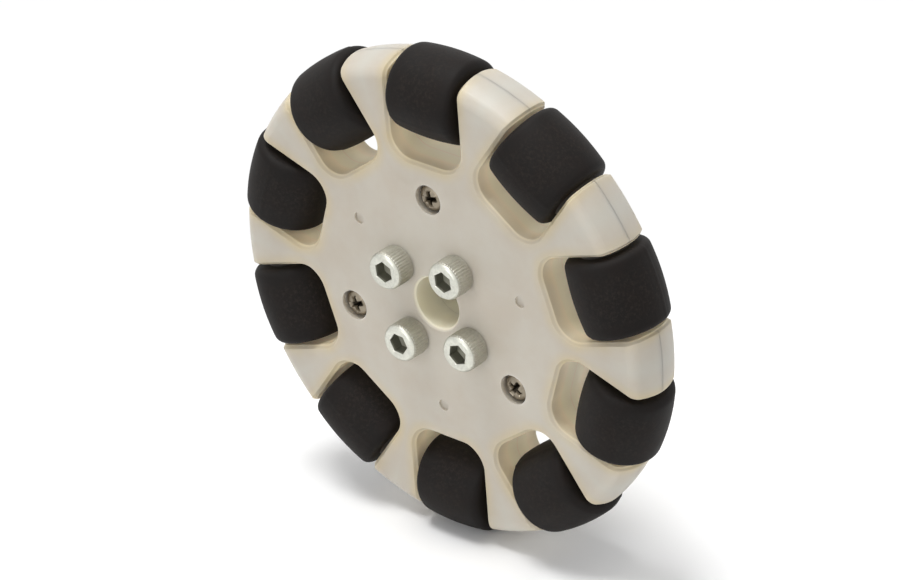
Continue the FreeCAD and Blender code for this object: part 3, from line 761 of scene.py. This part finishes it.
floor_paint, tree, surface, place = new_finish("floor_paint")
by_eye = seen_by_eye(tree)
distance = tree.nodes.new("ShaderNodeVectorMath")
distance.operation = "LENGTH"
plug(tree, place, distance.inputs[0])
from_wheel = distance.outputs["Value"]
near = fade(tree, from_wheel, *BURNT_OUT, 1.0, 0.0)
# Painted shadow: next to the lowest roller the floor's glow is left out, which makes the contact
# shadow darker than the lamps alone make it.
glow_darkened_at_contact = fade(tree, from_wheel, *PAINTED_CONTACT_SHADOW, 0.0, GLOW_BESIDE)
paint = blend(tree, near, NO_LIGHT, FLOOR_WHITE)
glow = blend(tree, near, WHITE_LIGHT, glow_darkened_at_contact)
plug(tree, blend(tree, by_eye, FLOOR_FOR_BOUNCES, paint), surface.inputs["Base Color"])
plug(tree, blend(tree, by_eye, NO_LIGHT, glow), surface.inputs["Emission Color"])
surface.inputs["Emission Strength"].default_value = 1.0
surface.inputs["Roughness"].default_value = 0.9
surface.inputs["Specular IOR Level"].default_value = 0.1

shape = bmesh.new()
bmesh.ops.create_grid(shape, x_segments=1, y_segments=1, size=FLOOR_HALF)
bmesh.ops.translate(shape, vec=(0, 0, -WHEEL_R), verts=shape.verts[:])
floor_mesh = bpy.data.meshes.new("floor")
shape.to_mesh(floor_mesh)
shape.free()
floor_mesh.materials.append(floor_paint)
floor = bpy.data.objects.new("floor", floor_mesh)
bpy.context.scene.collection.objects.link(floor)

world = bpy.data.worlds.new("sky")
bpy.context.scene.world = world
world.use_nodes = True
tree = world.node_tree
sky = tree.nodes["Background"]
sky.inputs["Color"].default_value = WHITE_LIGHT
strength = fade(tree, seen_by_eye(tree), 0.0, 1.0, SKY_STRENGTH, SKY_SEEN)
plug(tree, strength, sky.inputs["Strength"])


def add_lamp(name, place, size, power):
    """A square soft lamp that looks at the wheel's centre."""
    lamp = bpy.data.lights.new(name, "AREA")
    lamp.shape = "SQUARE"
    lamp.size = size
    lamp.energy = power
    holder = bpy.data.objects.new(name, lamp)
    holder.location = place
    holder.rotation_euler = (-Vector(place)).to_track_quat("-Z", "Y").to_euler()
    bpy.context.scene.collection.objects.link(holder)


add_lamp("top_lamp", place=(-0.2, -0.15, 1.5), size=0.6, power=16.2)
add_lamp("front_lamp", place=(0.1, -1.4, 0.6), size=1.0, power=5.0)
add_lamp("back_lamp", place=(-0.4, 1.3, 0.8), size=1.0, power=2.5)

CAMERA_PLACE = Vector((0.48241, -0.52994, 0.39909))
CAMERA_ROLL = math.radians(-4.364)
FOCAL_PIXELS = 1985.6
CLOSE_UP = 2.9
PHOTO_WIDTH = 915
SENSOR_WIDTH = 36.0
camera_data = bpy.data.cameras.new("camera")
camera_data.sensor_width = SENSOR_WIDTH
camera_data.lens = SENSOR_WIDTH * FOCAL_PIXELS * CLOSE_UP / PHOTO_WIDTH
camera = bpy.data.objects.new("camera", camera_data)
look = (-CAMERA_PLACE).to_track_quat("-Z", "Y").to_matrix().to_4x4()
roll = Matrix.Rotation(CAMERA_ROLL, 4, "Z")
camera.matrix_world = Matrix.Translation(CAMERA_PLACE) @ look @ roll
bpy.context.scene.collection.objects.link(camera)
bpy.context.scene.camera = camera
bpy.context.scene.view_settings.view_transform = "Standard"

bpy.context.view_layer.update()
